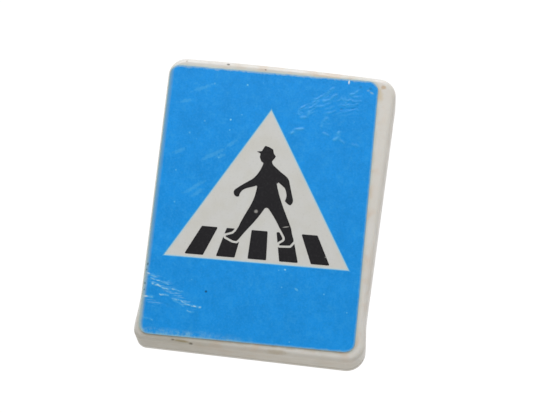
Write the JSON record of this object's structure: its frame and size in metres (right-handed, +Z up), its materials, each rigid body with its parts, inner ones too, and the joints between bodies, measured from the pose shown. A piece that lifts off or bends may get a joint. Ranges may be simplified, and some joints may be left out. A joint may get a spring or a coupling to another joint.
{
  "type": "toy road sign head",
  "caption": "Upright rounded plastic plate with a pedestrian crossing label on its front and a snap clip for a round post on its back.",
  "frame": {"origin": "on the axis of the post, half way up the clip on the back of the plate", "axes": "+Z up the sign and along the post, -Y out of the printed face towards the viewer, +X to the viewer's right"},
  "size_m": [0.0324, 0.0119, 0.0411],
  "materials": {
    "shell_plastic": "satin, aged off-white",
    "back_plastic": "satin, aged off-white",
    "film_paper": "semi-gloss coated paper",
    "blue_ink": "semi-gloss print",
    "figure_ink": "semi-gloss print",
    "stripe_ink": "semi-gloss print"
  },
  "bodies": {
    "root": {"front_shell": "shell_plastic", "back_plate": "back_plastic", "label_film": "film_paper", "label_blue_print": "blue_ink", "label_pedestrian": "figure_ink", "label_stripes": "stripe_ink"}
  },
  "joints": []
}
